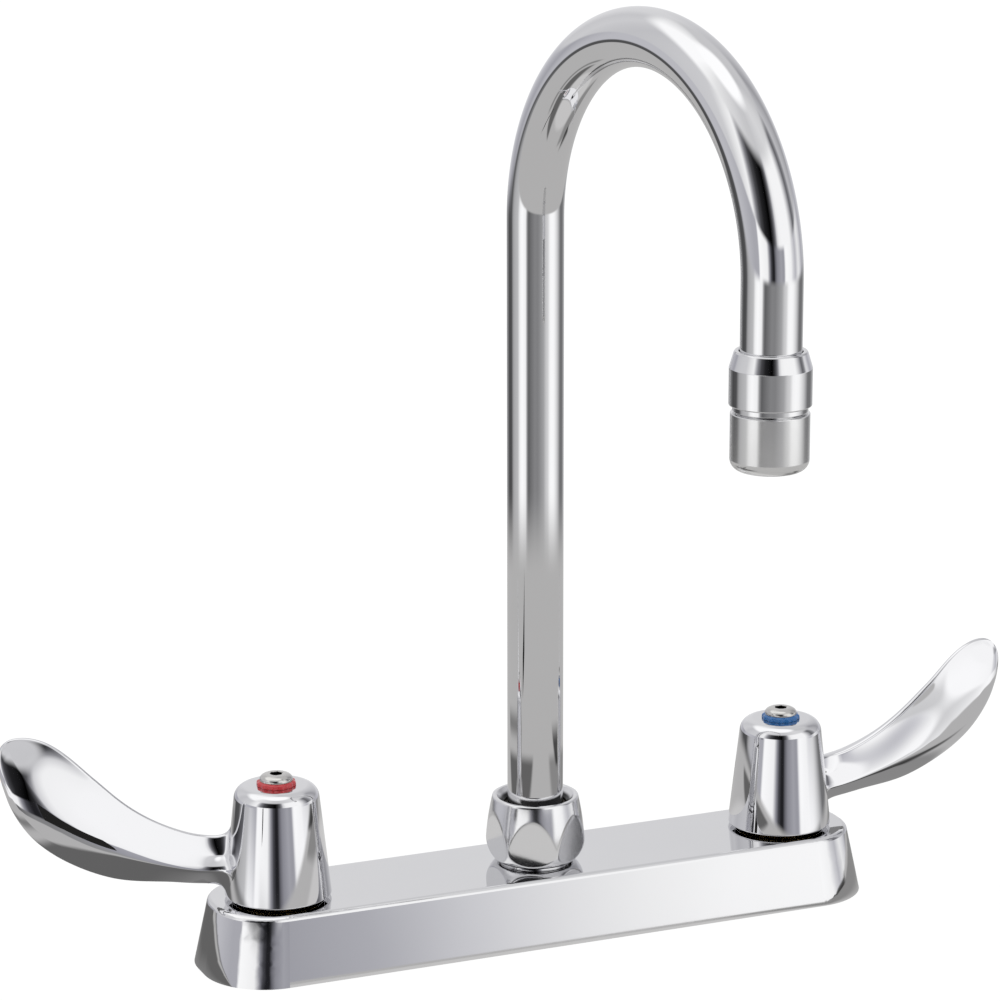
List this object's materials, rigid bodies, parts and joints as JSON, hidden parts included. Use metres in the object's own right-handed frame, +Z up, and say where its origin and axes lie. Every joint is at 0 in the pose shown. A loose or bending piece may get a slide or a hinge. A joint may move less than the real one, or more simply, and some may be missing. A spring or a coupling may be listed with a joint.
{
  "type": "two-handle deck-mount sink faucet",
  "caption": "Deck-mount sink faucet: bar body, hot and cold blade handles, and a high gooseneck spout that swivels, with an aerator.",
  "frame": {"origin": "middle of the faucet's resting face on the sink deck, on the spout's swivel axis", "axes": "+Z up out of the deck, +X along the body towards the cold handle, -Y towards the user and the basin"},
  "size_m": [0.3995, 0.1843, 0.4044],
  "materials": {
    "chrome_body": "bright chrome plate over cast brass",
    "chrome_handle": "bright chrome plate over cast metal",
    "chrome_tube": "bright chrome plate over drawn brass tube",
    "chrome_nut": "bright chrome plate",
    "chrome_outlet": "bright chrome plate, turned",
    "satin_outlet": "chrome plate with a slightly satin turned face",
    "screw_steel": "plain stainless steel",
    "washer_steel": "pressed steel, zinc plated",
    "steel_screen": "stainless steel",
    "brass": "machined brass",
    "seal_rubber": "black moulded rubber",
    "gasket_rubber": "dark grey foam rubber sheet",
    "bearing_plastic": "natural low-friction plastic",
    "white_plastic": "white moulded plastic",
    "ceramic": "lapped off-white ceramic",
    "red_plastic": "deep red moulded plastic",
    "blue_plastic": "mid blue moulded plastic"
  },
  "bodies": {
    "base": {"body_casting": "chrome_body", "deck_gasket": "gasket_rubber", "bearing_ring": "bearing_plastic", "hold_down_ring": "bearing_plastic", "spout_nut": "chrome_nut", "hot_shank": "brass", "hot_shank_seal": "seal_rubber", "hot_deck_washer": "washer_steel", "hot_lock_nut": "brass", "hot_seat_spring": "steel_screen", "hot_seat_cup": "seal_rubber", "hot_thrust_washer": "bearing_plastic", "hot_bonnet": "brass", "hot_bonnet_seal": "seal_rubber", "cold_shank": "brass", "cold_shank_seal": "seal_rubber", "cold_deck_washer": "washer_steel", "cold_lock_nut": "brass", "cold_seat_spring": "steel_screen", "cold_seat_cup": "seal_rubber", "cold_thrust_washer": "bearing_plastic", "cold_bonnet": "brass", "cold_bonnet_seal": "seal_rubber"},
    "hot_stem": {"hot_handle": "chrome_handle", "hot_index_ring": "red_plastic", "hot_handle_screw": "screw_steel", "hot_spindle": "brass", "hot_spindle_oring": "seal_rubber", "hot_valve_disc": "ceramic"},
    "cold_stem": {"cold_handle": "chrome_handle", "cold_index_ring": "blue_plastic", "cold_handle_screw": "screw_steel", "cold_spindle": "brass", "cold_spindle_oring": "seal_rubber", "cold_valve_disc": "ceramic"},
    "spout": {"spout_tube": "chrome_tube", "spout_sleeve": "brass", "swivel_oring_lower": "seal_rubber", "swivel_oring_upper": "seal_rubber", "outlet_collar": "chrome_outlet", "aerator_washer": "seal_rubber", "flow_straightener": "white_plastic", "aerator_screen": "steel_screen", "aerator_housing": "satin_outlet"}
  },
  "joints": [
    {"name": "hot_turn", "type": "hinge", "parent": "base", "child": "hot_stem", "pos_m": [-0.1016, 0, 0.0462], "axis": [0, 0, 1], "range_deg": [0, 90]},
    {"name": "cold_turn", "type": "hinge", "parent": "base", "child": "cold_stem", "pos_m": [0.1016, 0, 0.0462], "axis": [0, 0, 1], "range_deg": [-90, 0]},
    {"name": "spout_swivel", "type": "hinge", "parent": "base", "child": "spout", "pos_m": [0, 0, 0.039], "axis": [0, 0, 1], "continuous": true}
  ]
}
